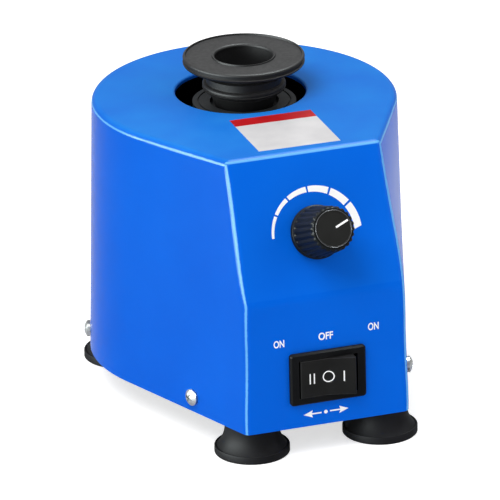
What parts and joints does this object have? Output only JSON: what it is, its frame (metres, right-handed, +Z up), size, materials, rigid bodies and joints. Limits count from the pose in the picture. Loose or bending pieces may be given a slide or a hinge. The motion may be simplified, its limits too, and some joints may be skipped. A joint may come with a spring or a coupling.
{
  "type": "laboratory vortex shaker",
  "caption": "Bench shaker with an orbiting rubber cup, sloped control panel, speed knob and three-way rocker switch",
  "frame": {"origin": "on the floor plane, under the middle of the machine's bounding box", "axes": "+Z up, the control panel faces -Y, +X to the right as seen from the front"},
  "size_m": [0.1324, 0.1732, 0.1399],
  "materials": {
    "blue_paint": "satin blue powder coat",
    "zinc_sheet": "zinc plated",
    "bright_screws": "bright plated",
    "white_nylon": "moulded",
    "hard_steel": "ground",
    "spring_steel": "bright",
    "black_electrics": "moulded",
    "red_plastic": "moulded",
    "cast_alloy": "as cast",
    "sintered_bronze": "sintered, oiled",
    "laminations": "stacked sheet, lacquered edge",
    "winding_tape": "polyester tape over enamelled copper",
    "grommet_rubber": "matt",
    "fan_plastic": "moulded",
    "black_steel": "black oxide",
    "weight_brass": "turned",
    "grey_disc": "mid grey, fine turned face",
    "cup_rubber": "matt, dusty flange top",
    "knob_black": "satin black, fluted",
    "knob_face": "black face with a bright rim and white pointer",
    "switch_black": "fine spark-eroded texture",
    "rocker_black": "satin, white symbols",
    "terminal_metal": "nickel plated",
    "inlet_black": "moulded",
    "board_green": "solder mask",
    "terminal_green": "moulded",
    "foot_rubber": "matt black"
  },
  "bodies": {
    "root": {"cover": "blue_paint", "base_tray": "zinc_sheet", "cover_screws": "bright_screws", "foot_screws": "bright_screws", "foot_nuts": "bright_screws", "spring_guide": "white_nylon", "return_spring": "spring_steel", "touch_switch_body": "black_electrics", "touch_switch_bracket": "zinc_sheet", "lower_motor_bracket": "cast_alloy", "upper_motor_bracket": "cast_alloy", "lower_sleeve_bearing": "sintered_bronze", "upper_sleeve_bearing": "sintered_bronze", "stator_stack": "laminations", "coil_bobbin": "white_nylon", "coil_winding": "winding_tape", "motor_through_bolts": "bright_screws", "motor_posts": "zinc_sheet", "motor_grommets": "grommet_rubber", "motor_mount_screws": "bright_screws", "speed_potentiometer": "zinc_sheet", "potentiometer_nut": "bright_screws", "rocker_housing": "switch_black", "rocker_terminals": "terminal_metal", "power_inlet": "inlet_black", "inlet_blades": "terminal_metal", "control_board": "board_green", "board_standoffs": "white_nylon", "board_screws": "bright_screws", "heat_sink": "cast_alloy", "triac": "black_electrics", "board_capacitors": "black_electrics", "terminal_block": "terminal_green", "foot_front_left": "foot_rubber", "foot_front_right": "foot_rubber", "foot_rear_left": "foot_rubber", "foot_rear_right": "foot_rubber"},
    "thrust": {"thrust_plunger": "white_nylon", "thrust_ball": "hard_steel"},
    "rotor_drive": {"motor_shaft": "hard_steel", "rotor": "laminations", "cooling_fan": "fan_plastic", "eccentric_hub": "hard_steel", "hub_set_screws": "black_steel", "counterweight": "weight_brass", "pin_circlip": "spring_steel", "bearing_inner_race": "hard_steel"},
    "head": {"head_housing": "grey_disc", "housing_circlip": "spring_steel", "bearing_outer_race": "hard_steel", "bearing_balls": "hard_steel", "mixing_cup": "cup_rubber"},
    "switch_lever": {"touch_switch_lever": "spring_steel"},
    "switch_pin": {"touch_switch_pin": "red_plastic"},
    "knob": {"speed_knob": "knob_black", "knob_cap": "knob_face", "potentiometer_shaft": "zinc_sheet"},
    "rocker": {"rocker_button": "rocker_black"}
  },
  "joints": [
    {"name": "head_press", "type": "slide", "parent": "root", "child": "thrust", "axis": [0, 0, 1], "range_m": [-0.0025, 0], "stiffness_N_per_m": 3000, "springref_m": 0.002, "deforming": ["return_spring"]},
    {"name": "motor_spin", "type": "hinge", "parent": "thrust", "child": "rotor_drive", "pos_m": [0, 0.02475, 0.06], "axis": [0, 0, 1], "continuous": true},
    {"name": "head_orbit", "type": "hinge", "parent": "rotor_drive", "child": "head", "pos_m": [0.001, 0.02301, 0.11], "axis": [0, 0, 1], "continuous": true},
    {"name": "switch_lever_tilt", "type": "hinge", "parent": "root", "child": "switch_lever", "pos_m": [0.028, 0.02475, 0.0223], "axis": [0, 1, 0], "range_deg": [-9.75, 0]},
    {"name": "switch_pin_press", "type": "slide", "parent": "root", "child": "switch_pin", "axis": [0, 0, 1], "range_m": [-0.00089, 0]},
    {"name": "knob_turn", "type": "hinge", "parent": "root", "child": "knob", "pos_m": [0, -0.06392, 0.09321], "axis": [0, 0.9144, -0.4048], "range_deg": [-158, 26]},
    {"name": "rocker_tilt", "type": "hinge", "parent": "root", "child": "rocker", "pos_m": [0, -0.07463, 0.03478], "axis": [0, 0.0244, 0.9997], "range_deg": [0, 18]}
  ],
  "couplings": [
    {"joint": "head_orbit", "follows": "motor_spin", "ratio": -1},
    {"joint": "switch_lever_tilt", "follows": "head_press", "rad_per_m": 67.727},
    {"joint": "switch_pin_press", "follows": "head_press", "ratio": 0.35172}
  ]
}
